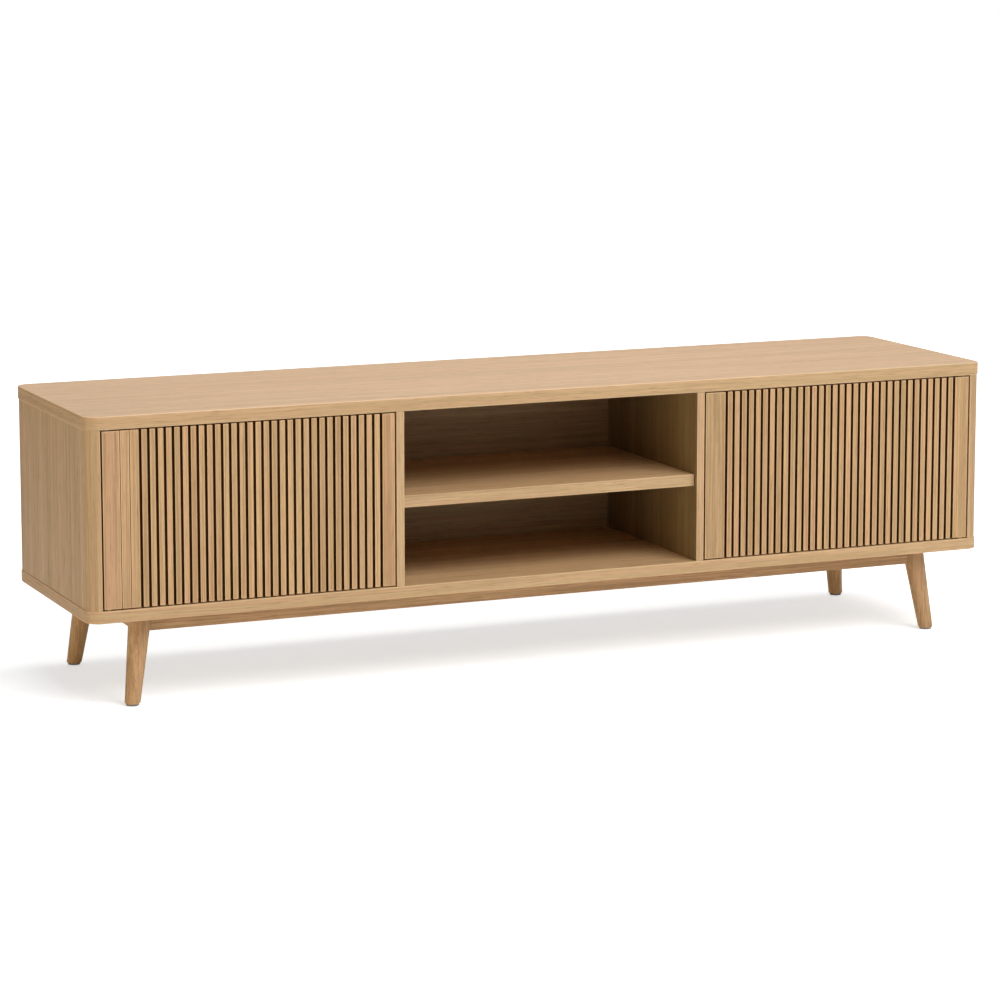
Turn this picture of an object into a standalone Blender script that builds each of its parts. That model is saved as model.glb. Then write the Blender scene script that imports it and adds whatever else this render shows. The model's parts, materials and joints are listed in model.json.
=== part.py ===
"""Media cabinet on splayed legs: two slatted doors either side of an open bay with one shelf.

Metres, +Z up, the front faces -Y, the origin is on the floor under the middle of the cabinet.
Left and right are as seen from the front: left is -X.
"""

import math

import bmesh
import bpy
from mathutils import Matrix, Vector

# Overall size
WIDTH = 1.800
DEPTH = 0.450
UNDERSIDE_HEIGHT = 0.160
BOTTOM_THICKNESS = 0.022
OPENING_HEIGHT = 0.320
TOP_THICKNESS = 0.024

# Fits
TOUCH_GAP = 0.0003
DOOR_GAP = 0.003
DOOR_END_GAP = 0.0025
HAIRLINE = 0.0008

# Case
CORNER_RADIUS = 0.025
CORNER_STEPS = 6
EDGE_ROUNDING = 0.0015
PANEL_OVERHANG = 0.0015
SIDE_THICKNESS = 0.025
DIVIDER_THICKNESS = 0.015
BAY_LEFT_X = -0.306
BAY_RIGHT_X = 0.284
SHELF_THICKNESS = 0.022
SHELF_TOP_ABOVE_FLOOR = 0.164
SHELF_SETBACK = 0.010
SHELF_END_GAP = 0.001
SHELF_BACK_GAP = 0.006
BACK_FACE_Y = 0.166
BACK_THICKNESS = 0.006
GROOVE_DEPTH = 0.008
DIVIDER_GROOVE_DEPTH = 0.004
GROOVE_PLAY = 0.0004
CABLE_HOLE_RADIUS = 0.030
CABLE_HOLE_ABOVE_FLOOR = 0.120
GROMMET_WALL = 0.003
GROMMET_FLANGE_RADIUS = 0.035
GROMMET_FLANGE_THICKNESS = 0.0018
PIN_RADIUS = 0.0025
PIN_LENGTH = 0.016
PIN_HOLE_DEPTH = 0.008
PIN_FROM_SHELF_END = 0.050

# Doors
DOOR_RECESS = 0.0005
SLAT_DEPTH = 0.008
CARRIER_THICKNESS = 0.0017
BACKING_THICKNESS = 0.012
SLAT_GAP = 0.005
LEFT_OUTER_STILE = 0.032
LEFT_BOARD = 0.0165
LEFT_SLATS = 30
LEFT_INNER_STILE = 0.024
RIGHT_OUTER_STILE = 0.030
RIGHT_SLATS = 33
RIGHT_INNER_STILE = 0.041

# Pivot hinges
PIVOT_FROM_EDGE = 0.010
PIVOT_FROM_FACE = 0.0072
PIVOT_PIN_RADIUS = 0.0025
PIVOT_HOLE_RADIUS = 0.0028
PIVOT_PLATE_THICKNESS = 0.0025
PIVOT_PLATE_WIDTH = 0.010
PIVOT_PLATE_LENGTH = 0.026
PIVOT_PLATE_INSET = 0.003
WASHER_RADIUS = 0.0048

# Push latches
LATCH_FROM_FREE_EDGE = 0.026
LATCH_BODY_SIZE = (0.016, 0.062, 0.020)
LATCH_EAR_WIDTH = 0.034
LATCH_EAR_THICKNESS = 0.003
LATCH_BORE_RADIUS = 0.0043
LATCH_BORE_DEPTH = 0.050
PLUNGER_RADIUS = 0.004
PLUNGER_LENGTH = 0.042
PLUNGER_HEAD_RADIUS = 0.0052
PLUNGER_HEAD_LENGTH = 0.003
PLUNGER_CHAMFER = 0.001
PLUNGER_TRAVEL = 0.0025
STRIKE_RADIUS = 0.007
STRIKE_THICKNESS = 0.0012

# Leg frame
LEG_TOP_X = 0.787
LEG_TOP_Y = 0.162
LEG_FOOT_X = 0.809
LEG_FOOT_Y = 0.180
LEG_TOP_RADIUS = 0.0205
LEG_FOOT_RADIUS = 0.014
LEG_EDGE_ROUNDING = 0.002
LEG_PLATE_THICKNESS = 0.0025
LEG_PLATE_RADIUS = 0.0195
LEG_STUD_RADIUS = 0.004
LEG_STUD_LENGTH = 0.045
STUD_SIDES = 16
GLIDE_RADIUS = 0.0115
GLIDE_THICKNESS = 0.003
RAIL_HEIGHT = 0.030
RAIL_THICKNESS = 0.022

SEAT_PLAY = 0.0004
SEAT_REACH = 0.002

# Smoothness
FULL_SIDES = 32
PLATE_SIDES = 24
SMALL_SIDES = 20
SHELF_PIN_SIDES = 12
SMOOTH_BELOW = 35
ROUNDED_ABOVE = 40
WELD_DISTANCE = 0.00001

# Levels and faces that follow from the sizes above
BOTTOM_TOP_Z = UNDERSIDE_HEIGHT + BOTTOM_THICKNESS
TOP_UNDERSIDE_Z = BOTTOM_TOP_Z + OPENING_HEIGHT
CASE_HALF_WIDTH = WIDTH / 2 - PANEL_OVERHANG
CASE_HALF_DEPTH = DEPTH / 2 - PANEL_OVERHANG
INNER_HALF_WIDTH = CASE_HALF_WIDTH - SIDE_THICKNESS
SHELF_TOP_Z = BOTTOM_TOP_Z + SHELF_TOP_ABOVE_FLOOR
DOOR_FRONT_Y = -CASE_HALF_DEPTH + DOOR_RECESS
CARRIER_FRONT_Y = DOOR_FRONT_Y + SLAT_DEPTH
CARRIER_BACK_Y = CARRIER_FRONT_Y + CARRIER_THICKNESS
BACKING_FRONT_Y = CARRIER_BACK_Y + TOUCH_GAP
DOOR_BACK_Y = BACKING_FRONT_Y + BACKING_THICKNESS
DOOR_LOW_Z = BOTTOM_TOP_Z + DOOR_END_GAP
DOOR_HIGH_Z = TOP_UNDERSIDE_Z - DOOR_END_GAP
LEG_TOP_Z = UNDERSIDE_HEIGHT - LEG_PLATE_THICKNESS - 2 * TOUCH_GAP

# Material values: colour, roughness, metallic
OAK_TOP = ("oak_top", (0.58, 0.40, 0.25), 0.50, 0.0)
OAK_CASE = ("oak_case", (0.50, 0.33, 0.19), 0.52, 0.0)
OAK_INSIDE = ("oak_inside", (0.34, 0.22, 0.12), 0.58, 0.0)
OAK_DOOR = ("oak_door", (0.52, 0.34, 0.20), 0.50, 0.0)
OAK_LEG = ("oak_leg", (0.46, 0.29, 0.16), 0.50, 0.0)
STEEL = ("plated_steel", (0.62, 0.62, 0.60), 0.30, 1.0)
BRASS = ("brass", (0.72, 0.53, 0.25), 0.32, 1.0)
GREY_PLASTIC = ("grey_plastic", (0.30, 0.30, 0.29), 0.50, 0.0)
BLACK_PLASTIC = ("black_plastic", (0.04, 0.04, 0.04), 0.50, 0.0)

SIDES = {"left": -1, "right": 1}
ENDS = {"front": -1, "rear": 1}


def clear_scene():
    for item in list(bpy.data.objects):
        bpy.data.objects.remove(item, do_unlink=True)


def make_collection(name):
    group = bpy.data.collections.new(name)
    bpy.context.scene.collection.children.link(group)
    return group


def material(values):
    name, colour, roughness, metallic = values
    found = bpy.data.materials.get(name)
    if found:
        return found
    made = bpy.data.materials.new(name)
    made.use_nodes = True
    shader = made.node_tree.nodes["Principled BSDF"]
    shader.inputs["Base Color"].default_value = (*colour, 1.0)
    shader.inputs["Roughness"].default_value = roughness
    shader.inputs["Metallic"].default_value = metallic
    made.diffuse_color = (*colour, 1.0)
    return made


def place(name, mesh, finish, location, group, parent=None):
    """Put a mesh in the scene at a world location, under an empty if one is given."""
    item = bpy.data.objects.new(name, mesh)
    group.objects.link(item)
    item.location = Vector(location)
    if parent:
        item.parent = parent
        item.location = Vector(location) - parent.location
    if finish:
        mesh.materials.append(material(finish))
    return item


def box_mesh(name, size):
    shape = bmesh.new()
    bmesh.ops.create_cube(shape, size=1.0, matrix=Matrix.Diagonal((*size, 1.0)))
    mesh = bpy.data.meshes.new(name)
    shape.to_mesh(mesh)
    shape.free()
    return mesh


def box(name, low, high, finish, group, parent=None):
    low = Vector(low)
    high = Vector(high)
    return place(name, box_mesh(name, high - low), finish, (low + high) / 2, group, parent)


def cone_mesh(name, low_radius, high_radius, height, sides, lean=(0.0, 0.0)):
    """A cone or cylinder on Z, centred; lean is how far its top stands off its foot in x and y."""
    shape = bmesh.new()
    bmesh.ops.create_cone(
        shape,
        cap_ends=True,
        segments=sides,
        radius1=low_radius,
        radius2=high_radius,
        depth=height,
    )
    for vert in shape.verts:
        share = vert.co.z / height
        vert.co.x += lean[0] * share
        vert.co.y += lean[1] * share
    mesh = bpy.data.meshes.new(name)
    shape.to_mesh(mesh)
    shape.free()
    smooth(mesh)
    return mesh


def smooth(mesh):
    mesh.shade_smooth()
    mesh.set_sharp_from_angle(angle=math.radians(SMOOTH_BELOW))


def cut(item, cutter):
    hole = item.modifiers.new(cutter.name, "BOOLEAN")
    hole.operation = "DIFFERENCE"
    hole.solver = "EXACT"
    hole.object = cutter


def round_edges(item, width, segments=2):
    bevel = item.modifiers.new("rounded_edges", "BEVEL")
    bevel.width = width
    bevel.segments = segments
    bevel.limit_method = "ANGLE"
    bevel.angle_limit = math.radians(ROUNDED_ABOVE)


def cutter(item):
    item.hide_render = True
    item.display_type = "WIRE"
    return item


def box_cutter(name, low, high, cutters):
    return cutter(box(name, low, high, None, cutters))


def arc(centre, radius, start, stop, steps):
    """Points of an arc in degrees, its ends included."""
    points = []
    for step in range(steps + 1):
        angle = math.radians(start + (stop - start) * step / steps)
        points.append((centre[0] + radius * math.cos(angle), centre[1] + radius * math.sin(angle)))
    return points


def finished_mesh(holder, name):
    """The mesh an object makes with its modifiers; the object itself is removed."""
    bpy.context.view_layer.update()
    depsgraph = bpy.context.evaluated_depsgraph_get()
    mesh = bpy.data.meshes.new_from_object(holder.evaluated_get(depsgraph))
    mesh.name = name
    bpy.data.objects.remove(holder, do_unlink=True)
    return mesh


def outline_mesh(name, points, thickness):
    """A flat outline filled and given its thickness, welded to one closed mesh centred on its plane."""
    curve = bpy.data.curves.new(name, "CURVE")
    curve.dimensions = "2D"
    curve.fill_mode = "BOTH"
    curve.extrude = thickness / 2
    spline = curve.splines.new("POLY")
    spline.points.add(len(points) - 1)
    for point, (x, y) in zip(spline.points, points):
        point.co = (x, y, 0.0, 1.0)
    spline.use_cyclic_u = True
    holder = bpy.data.objects.new(name + "_outline", curve)
    bpy.context.scene.collection.objects.link(holder)
    mesh = finished_mesh(holder, name)
    shape = bmesh.new()
    shape.from_mesh(mesh)
    bmesh.ops.remove_doubles(shape, verts=shape.verts, dist=WELD_DISTANCE)
    bmesh.ops.recalc_face_normals(shape, faces=shape.faces)
    shape.to_mesh(mesh)
    shape.free()
    smooth(mesh)
    return mesh


def rounded_rectangle(half_width, half_depth, radius):
    points = []
    for quarter, (sx, sy) in enumerate([(1, 1), (-1, 1), (-1, -1), (1, -1)]):
        centre = (sx * (half_width - radius), sy * (half_depth - radius))
        points += arc(centre, radius, 90 * quarter, 90 * quarter + 90, CORNER_STEPS)
    return points


def case_panel(name, low_z, thickness, finish, group):
    """Top or bottom panel: a slab with rounded plan corners and softened edges."""
    mesh = outline_mesh(name, rounded_rectangle(WIDTH / 2, DEPTH / 2, CORNER_RADIUS), thickness)
    panel = place(name, mesh, finish, (0.0, 0.0, low_z + thickness / 2), group)
    round_edges(panel, EDGE_ROUNDING)
    return panel


def side_panel(side, group):
    """Upright whose two outer corners carry on the rounding of the top and bottom panels."""
    sign = SIDES[side]
    radius = CORNER_RADIUS - PANEL_OVERHANG
    corner_y = CASE_HALF_DEPTH - radius
    points = arc((CASE_HALF_WIDTH - radius, -corner_y), radius, -90, 0, CORNER_STEPS)
    points += arc((CASE_HALF_WIDTH - radius, corner_y), radius, 0, 90, CORNER_STEPS)
    points += [(INNER_HALF_WIDTH, CASE_HALF_DEPTH), (INNER_HALF_WIDTH, -CASE_HALF_DEPTH)]
    if sign < 0:
        points = [(-x, y) for x, y in reversed(points)]
    name = side + "_side_panel"
    height = OPENING_HEIGHT - 2 * TOUCH_GAP
    mesh = outline_mesh(name, points, height)
    return place(name, mesh, OAK_CASE, (0.0, 0.0, BOTTOM_TOP_Z + OPENING_HEIGHT / 2), group)


def divider(side, group):
    low_x = BAY_LEFT_X - DIVIDER_THICKNESS if side == "left" else BAY_RIGHT_X
    return box(
        side + "_divider",
        (low_x, -CASE_HALF_DEPTH, BOTTOM_TOP_Z + TOUCH_GAP),
        (low_x + DIVIDER_THICKNESS, CASE_HALF_DEPTH, TOP_UNDERSIDE_Z - TOUCH_GAP),
        OAK_CASE,
        group,
    )


def bays():
    """Name and clear x range of the three spaces between the uprights."""
    return {
        "left": (-INNER_HALF_WIDTH, BAY_LEFT_X - DIVIDER_THICKNESS),
        "centre": (BAY_LEFT_X, BAY_RIGHT_X),
        "right": (BAY_RIGHT_X + DIVIDER_THICKNESS, INNER_HALF_WIDTH),
    }


def back_groove_cutters(cutters):
    """One cutter for each bay, as wide and as high as that bay's grooves reach."""
    made = {}
    for bay, (low_x, high_x) in bays().items():
        low_reach = GROOVE_DEPTH if bay == "left" else DIVIDER_GROOVE_DEPTH
        high_reach = GROOVE_DEPTH if bay == "right" else DIVIDER_GROOVE_DEPTH
        made[bay] = box_cutter(
            bay + "_groove_cutter",
            (low_x - low_reach, BACK_FACE_Y - GROOVE_PLAY, BOTTOM_TOP_Z - GROOVE_DEPTH),
            (
                high_x + high_reach,
                BACK_FACE_Y + BACK_THICKNESS + GROOVE_PLAY,
                TOP_UNDERSIDE_Z + GROOVE_DEPTH,
            ),
            cutters,
        )
    return made


def back_panel(bay, group, cutters):
    low_x, high_x = bays()[bay]
    low_reach = GROOVE_DEPTH if bay == "left" else DIVIDER_GROOVE_DEPTH
    high_reach = GROOVE_DEPTH if bay == "right" else DIVIDER_GROOVE_DEPTH
    bed = GROOVE_DEPTH - GROOVE_PLAY
    panel = box(
        bay + "_back_panel",
        (low_x - low_reach + GROOVE_PLAY, BACK_FACE_Y, BOTTOM_TOP_Z - bed),
        (high_x + high_reach - GROOVE_PLAY, BACK_FACE_Y + BACK_THICKNESS, TOP_UNDERSIDE_Z + bed),
        OAK_INSIDE,
        group,
    )
    if bay != "centre":
        middle = ((low_x + high_x) / 2, BACK_FACE_Y + BACK_THICKNESS / 2, cable_hole_z())
        mesh = cone_mesh("hole", CABLE_HOLE_RADIUS, CABLE_HOLE_RADIUS, 4 * BACK_THICKNESS, FULL_SIDES)
        hole = cutter(place(bay + "_cable_hole_cutter", mesh, None, middle, cutters))
        hole.rotation_euler.x = math.radians(90)
        cut(panel, hole)
    return panel


def cable_hole_z():
    return BOTTOM_TOP_Z + CABLE_HOLE_ABOVE_FLOOR


def turned_mesh(name, profile, sides):
    """A (radius, height) profile turned about Z: a ring, or a solid if its ends lie on the axis."""
    count = len(profile)
    edges = [(index, index + 1) for index in range(count - 1)]
    if profile[0][0] > 0.0:
        edges.append((count - 1, 0))
    mesh = bpy.data.meshes.new(name + "_profile")
    mesh.from_pydata([(radius, 0.0, height) for radius, height in profile], edges, [])
    holder = bpy.data.objects.new(name + "_profile", mesh)
    bpy.context.scene.collection.objects.link(holder)
    turn = holder.modifiers.new("turned", "SCREW")
    turn.axis = "Z"
    turn.steps = sides
    turn.render_steps = sides
    turn.use_merge_vertices = True
    turn.merge_threshold = WELD_DISTANCE
    made = finished_mesh(holder, name)
    smooth(made)
    return made


def cable_grommet(bay, group):
    """Flanged ring that lines the cable hole, its flange on the cupboard side."""
    low_x, high_x = bays()[bay]
    outer = CABLE_HOLE_RADIUS - TOUCH_GAP
    inner = outer - GROMMET_WALL
    flange_low = TOUCH_GAP
    flange_high = flange_low + GROMMET_FLANGE_THICKNESS
    profile = [
        (inner, flange_high),
        (GROMMET_FLANGE_RADIUS, flange_high),
        (GROMMET_FLANGE_RADIUS, flange_low),
        (outer, flange_low),
        (outer, -BACK_THICKNESS),
        (inner, -BACK_THICKNESS),
    ]
    centre = ((low_x + high_x) / 2, BACK_FACE_Y, cable_hole_z())
    name = bay + "_cable_grommet"
    ring = place(name, turned_mesh(name, profile, FULL_SIDES), BLACK_PLASTIC, centre, group)
    ring.rotation_euler.x = math.radians(90)


def centre_shelf(group):
    return box(
        "centre_shelf",
        (BAY_LEFT_X + SHELF_END_GAP, -CASE_HALF_DEPTH + SHELF_SETBACK, SHELF_TOP_Z - SHELF_THICKNESS),
        (BAY_RIGHT_X - SHELF_END_GAP, BACK_FACE_Y - SHELF_BACK_GAP, SHELF_TOP_Z),
        OAK_CASE,
        group,
    )


def shelf_pins(uprights, group, cutters):
    """Four round pins in the dividers, under the shelf's corners."""
    height = SHELF_TOP_Z - SHELF_THICKNESS - TOUCH_GAP - PIN_RADIUS
    front_y = -CASE_HALF_DEPTH + SHELF_SETBACK + PIN_FROM_SHELF_END
    rear_y = BACK_FACE_Y - SHELF_BACK_GAP - PIN_FROM_SHELF_END
    hole_radius = PIN_RADIUS + TOUCH_GAP
    for side, sign in SIDES.items():
        face_x = BAY_LEFT_X if side == "left" else BAY_RIGHT_X
        for end, y in {"front": front_y, "rear": rear_y}.items():
            name = f"{side}_{end}_shelf_pin"
            inner_end = face_x + sign * (PIN_HOLE_DEPTH - TOUCH_GAP)
            centre_x = inner_end - sign * PIN_LENGTH / 2
            mesh = cone_mesh(name, PIN_RADIUS, PIN_RADIUS, PIN_LENGTH, SHELF_PIN_SIDES)
            pin = place(name, mesh, STEEL, (centre_x, y, height), group)
            pin.rotation_euler.y = math.radians(90)
            mesh = cone_mesh(name, hole_radius, hole_radius, 2 * PIN_HOLE_DEPTH, SHELF_PIN_SIDES)
            hole = cutter(place(name + "_hole_cutter", mesh, None, (face_x, y, height), cutters))
            hole.rotation_euler.y = math.radians(90)
            cut(uprights[side], hole)


def door_edges(side):
    """World x of a door's hinge edge and of its free edge."""
    sign = SIDES[side]
    hinge_x = sign * (INNER_HALF_WIDTH - DOOR_GAP)
    if side == "left":
        return hinge_x, BAY_LEFT_X - DIVIDER_THICKNESS - DOOR_GAP
    return hinge_x, BAY_RIGHT_X + DIVIDER_THICKNESS + DOOR_GAP


def door_x(side, distance):
    """World x at a distance from the door's hinge edge."""
    return door_edges(side)[0] - SIDES[side] * distance


def pivot_centre(side):
    return door_x(side, PIVOT_FROM_EDGE), DOOR_FRONT_Y + PIVOT_FROM_FACE


def door_facings(side):
    """Name and (start, end) distance from the hinge edge of each flush board on a door's face."""
    hinge_x, free_x = door_edges(side)
    width = abs(free_x - hinge_x)
    if side == "left":
        first = LEFT_OUTER_STILE + HAIRLINE
        second = first + LEFT_BOARD + HAIRLINE
        return {
            "outer_stile": (0.0, LEFT_OUTER_STILE),
            "first_flush_board": (first, first + LEFT_BOARD),
            "second_flush_board": (second, second + LEFT_BOARD),
            "inner_stile": (width - LEFT_INNER_STILE, width),
        }
    return {
        "outer_stile": (0.0, RIGHT_OUTER_STILE),
        "inner_stile": (width - RIGHT_INNER_STILE, width),
    }


def slat_ranges(side):
    """(start, end) of each slat, measured from the hinge edge."""
    facings = door_facings(side)
    start = max(end for name, (_, end) in facings.items() if name != "inner_stile")
    stop = facings["inner_stile"][0]
    count = LEFT_SLATS if side == "left" else RIGHT_SLATS
    pitch = (stop - start - SLAT_GAP) / count
    first = start + SLAT_GAP
    return [(first + index * pitch, first + (index + 1) * pitch - SLAT_GAP) for index in range(count)]


def slat_sheet(side, axis, group):
    """The upright slats standing on their thin carrier sheet, as one comb outline."""
    facings = door_facings(side)
    start = max(end for name, (_, end) in facings.items() if name != "inner_stile")
    stop = facings["inner_stile"][0]
    ends = sorted((door_x(side, start + TOUCH_GAP), door_x(side, stop - TOUCH_GAP)))
    points = [(ends[1], CARRIER_BACK_Y), (ends[0], CARRIER_BACK_Y), (ends[0], CARRIER_FRONT_Y)]
    spans = sorted(tuple(sorted((door_x(side, a), door_x(side, b)))) for a, b in slat_ranges(side))
    for low_x, high_x in spans:
        points += [
            (low_x, CARRIER_FRONT_Y),
            (low_x, DOOR_FRONT_Y),
            (high_x, DOOR_FRONT_Y),
            (high_x, CARRIER_FRONT_Y),
        ]
    points.append((ends[1], CARRIER_FRONT_Y))
    origin_x, origin_y = axis.location.x, axis.location.y
    points = [(x - origin_x, y - origin_y) for x, y in points]
    name = side + "_door_slats"
    mesh = outline_mesh(name, points, DOOR_HIGH_Z - DOOR_LOW_Z)
    middle = (origin_x, origin_y, (DOOR_LOW_Z + DOOR_HIGH_Z) / 2)
    return place(name, mesh, OAK_DOOR, middle, group, axis)


def door_backing(side, axis, group):
    low_x, high_x = sorted(door_edges(side))
    return box(
        side + "_door_backing",
        (low_x, BACKING_FRONT_Y, DOOR_LOW_Z),
        (high_x, DOOR_BACK_Y, DOOR_HIGH_Z),
        OAK_INSIDE,
        group,
        axis,
    )


def door_boards(side, axis, group):
    boards = {}
    for name, (start, end) in door_facings(side).items():
        low_x, high_x = sorted((door_x(side, start), door_x(side, end)))
        boards[name] = box(
            f"{side}_door_{name}",
            (low_x, DOOR_FRONT_Y, DOOR_LOW_Z),
            (high_x, CARRIER_BACK_Y, DOOR_HIGH_Z),
            OAK_DOOR,
            group,
            axis,
        )
    return boards


def joined(name, meshes, finish, location, group, parent=None):
    """Bodies that cross one another, joined to one solid with Boolean unions."""
    first = place(name, meshes[0][0], finish, location, group, parent)
    for index, (mesh, offset) in enumerate(meshes[1:]):
        other = place(f"{name}_join_{index}", mesh, None, Vector(location) + Vector(offset), group)
        union = first.modifiers.new("join", "BOOLEAN")
        union.operation = "UNION"
        union.solver = "EXACT"
        union.object = other
        cutter(other)
    return first


def plate_limits(side, play=0.0):
    """Low and high corner in plan of a pivot plate, grown by the play."""
    centre_y = pivot_centre(side)[1]
    start = PIVOT_PLATE_INSET
    ends = sorted((door_x(side, start), door_x(side, start + PIVOT_PLATE_LENGTH)))
    half = PIVOT_PLATE_WIDTH / 2
    low = (ends[0] - play, centre_y - half - play)
    high = (ends[1] + play, centre_y + half + play)
    return low, high


def pivot_hinge(side, end, case, door_pieces, axis, group, cutters):
    """Two let-in plates at one end of a door: the case plate's pin turns in the door plate's hole."""
    up = 1 if end == "upper" else -1
    case_face = TOP_UNDERSIDE_Z if up > 0 else BOTTOM_TOP_Z
    door_face = DOOR_HIGH_Z if up > 0 else DOOR_LOW_Z
    pivot_x, pivot_y = pivot_centre(side)
    low, high = plate_limits(side)
    wide_low, wide_high = plate_limits(side, TOUCH_GAP)
    thickness = PIVOT_PLATE_THICKNESS
    name = f"{side}_{end}"

    def heights(face, direction, extra=0.0):
        return sorted((face - direction * extra, face + direction * (thickness + extra)))

    low_z, high_z = heights(case_face, up)
    size = (high[0] - low[0], high[1] - low[1], thickness)
    pin_length = thickness + DOOR_END_GAP + thickness - TOUCH_GAP
    pin_mesh = cone_mesh("pin", PIVOT_PIN_RADIUS, PIVOT_PIN_RADIUS, pin_length, SMALL_SIDES)
    centre = Vector(((low[0] + high[0]) / 2, (low[1] + high[1]) / 2, (low_z + high_z) / 2))
    pin_z = case_face + up * (thickness - pin_length / 2 - TOUCH_GAP)
    pin_offset = Vector((pivot_x, pivot_y, pin_z)) - centre
    plate_mesh = box_mesh(name + "_case_pivot_plate", size)
    parts = [(plate_mesh, (0, 0, 0)), (pin_mesh, pin_offset)]
    joined(name + "_case_pivot_plate", parts, STEEL, centre, group)
    low_z, high_z = heights(case_face, up, TOUCH_GAP)
    recess = box_cutter(name + "_case_recess", (*wide_low, low_z), (*wide_high, high_z), cutters)
    cut(case, recess)

    low_z, high_z = heights(door_face, -up)
    plate = box(name + "_door_pivot_plate", (*low, low_z), (*high, high_z), STEEL, group, axis)
    hole_mesh = cone_mesh("hole", PIVOT_HOLE_RADIUS, PIVOT_HOLE_RADIUS, 4 * thickness, SMALL_SIDES)
    hole = cutter(place(name + "_pivot_hole", hole_mesh, None, (pivot_x, pivot_y, door_face), cutters))
    cut(plate, hole)
    low_z, high_z = heights(door_face, -up, TOUCH_GAP)
    recess = box_cutter(name + "_door_recess", (*wide_low, low_z), (*wide_high, high_z), cutters)
    for piece in door_pieces:
        cut(piece, recess)


def pivot_washer(side, group):
    """Thrust washer round the lower pin, between the two plates, that the door turns on."""
    pivot_x, pivot_y = pivot_centre(side)
    inner = PIVOT_HOLE_RADIUS
    height = DOOR_END_GAP - 2 * TOUCH_GAP
    profile = [(inner, height), (WASHER_RADIUS, height), (WASHER_RADIUS, 0.0), (inner, 0.0)]
    location = (pivot_x, pivot_y, BOTTOM_TOP_Z + TOUCH_GAP)
    name = side + "_pivot_washer"
    place(name, turned_mesh(name, profile, SMALL_SIDES), BRASS, location, group)


def latch_axis(side):
    """World x and z of a push latch's centre line."""
    free_x = door_edges(side)[1]
    x = free_x + SIDES[side] * LATCH_FROM_FREE_EDGE
    z = TOP_UNDERSIDE_Z - TOUCH_GAP - LATCH_BODY_SIZE[2] / 2
    return x, z


def latch_levels():
    """World y of the strike plate's two faces, the plunger's tip and the latch body's front."""
    strike_front = DOOR_BACK_Y + TOUCH_GAP
    strike_back = strike_front + STRIKE_THICKNESS
    tip = strike_back + TOUCH_GAP
    body_front = tip + PLUNGER_HEAD_LENGTH + PLUNGER_TRAVEL + 2 * TOUCH_GAP
    return strike_front, strike_back, tip, body_front


def latch_body(side, group, cutters):
    """Box with two screw ears at its top, bored for the plunger."""
    x, z = latch_axis(side)
    body_front = latch_levels()[-1]
    width, length, height = LATCH_BODY_SIZE
    name = side + "_latch_body"
    ears = box_mesh("ears", (LATCH_EAR_WIDTH, length, LATCH_EAR_THICKNESS))
    ears_rise = (0.0, 0.0, (height - LATCH_EAR_THICKNESS) / 2)
    parts = [(box_mesh(name, (width, length, height)), (0.0, 0.0, 0.0)), (ears, ears_rise)]
    body = joined(name, parts, GREY_PLASTIC, (x, body_front + length / 2, z), group)
    radius = LATCH_BORE_RADIUS
    mesh = cone_mesh("bore", radius, radius, 2 * LATCH_BORE_DEPTH, SMALL_SIDES)
    bore = cutter(place(side + "_latch_bore", mesh, None, (x, body_front, z), cutters))
    bore.rotation_euler.x = math.radians(90)
    cut(body, bore)


def latch_plunger(side, group):
    """Sprung rod with a chamfered head, its tip at the origin and its tail towards the back."""
    x, z = latch_axis(side)
    tip = latch_levels()[2]
    profile = [
        (0.0, 0.0),
        (PLUNGER_HEAD_RADIUS - PLUNGER_CHAMFER, 0.0),
        (PLUNGER_HEAD_RADIUS, -PLUNGER_CHAMFER),
        (PLUNGER_HEAD_RADIUS, -PLUNGER_HEAD_LENGTH),
        (PLUNGER_RADIUS, -PLUNGER_HEAD_LENGTH),
        (PLUNGER_RADIUS, -PLUNGER_LENGTH),
        (0.0, -PLUNGER_LENGTH),
    ]
    name = side + "_latch_plunger"
    mesh = turned_mesh(name, profile, SMALL_SIDES)
    plunger = place(name, mesh, GREY_PLASTIC, (x, tip, z), group)
    plunger.rotation_euler.x = math.radians(90)


def strike_plate(side, axis, group):
    """Steel disc on the door's back that the plunger presses on."""
    x, z = latch_axis(side)
    front, back = latch_levels()[:2]
    name = side + "_strike_plate"
    mesh = cone_mesh(name, STRIKE_RADIUS, STRIKE_RADIUS, STRIKE_THICKNESS, PLATE_SIDES)
    strike = place(name, mesh, STEEL, (x, (front + back) / 2, z), group, axis)
    strike.rotation_euler.x = math.radians(90)


def door(side, case, group, cutters):
    """Everything that swings with one door, under an empty on its pivot axis."""
    axis = bpy.data.objects.new(side + "_door_axis", None)
    group.objects.link(axis)
    axis.location = (*pivot_centre(side), 0.0)
    slat_sheet(side, axis, group)
    backing = door_backing(side, axis, group)
    boards = door_boards(side, axis, group)
    cut_pieces = [backing, boards["outer_stile"]]
    pivot_hinge(side, "upper", case["top"], cut_pieces, axis, group, cutters)
    pivot_hinge(side, "lower", case["bottom"], cut_pieces, axis, group, cutters)
    pivot_washer(side, group)
    latch_body(side, group, cutters)
    latch_plunger(side, group)
    strike_plate(side, axis, group)


def leg_points(side, end):
    """Top and foot centre of a leg in plan."""
    sx = SIDES[side]
    sy = ENDS[end]
    return Vector((sx * LEG_TOP_X, sy * LEG_TOP_Y)), Vector((sx * LEG_FOOT_X, sy * LEG_FOOT_Y))


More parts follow.
